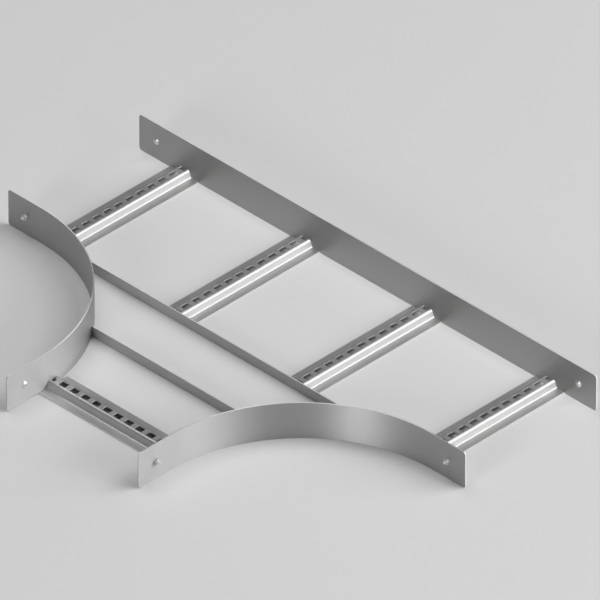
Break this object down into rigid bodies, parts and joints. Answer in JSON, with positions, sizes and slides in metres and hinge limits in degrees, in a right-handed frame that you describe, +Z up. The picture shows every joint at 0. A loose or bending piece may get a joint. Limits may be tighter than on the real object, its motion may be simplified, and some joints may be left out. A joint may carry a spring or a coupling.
{
  "type": "cable tray tee",
  "caption": "Equal tee for a slotted rung cable tray: a straight back rail, two curved side rails, hat section rungs and flat bars across the branch mouth.",
  "frame": {"origin": "on the floor, at the middle of the tee's length and depth", "axes": "+X along the run, -Y out of the branch, +Z up from the rung flanges to the rails' top edges"},
  "size_m": [1.05, 0.677, 0.07],
  "materials": {
    "sheet_steel": "satin galvanised sheet"
  },
  "bodies": {
    "root": {"straight_side_rail": "sheet_steel", "left_curved_side_rail": "sheet_steel", "right_curved_side_rail": "sheet_steel", "mouth_bar": "sheet_steel", "throat_bar": "sheet_steel", "run_rung_1": "sheet_steel", "run_rung_2": "sheet_steel", "run_rung_3": "sheet_steel", "run_rung_4": "sheet_steel", "branch_rung": "sheet_steel"}
  },
  "joints": []
}
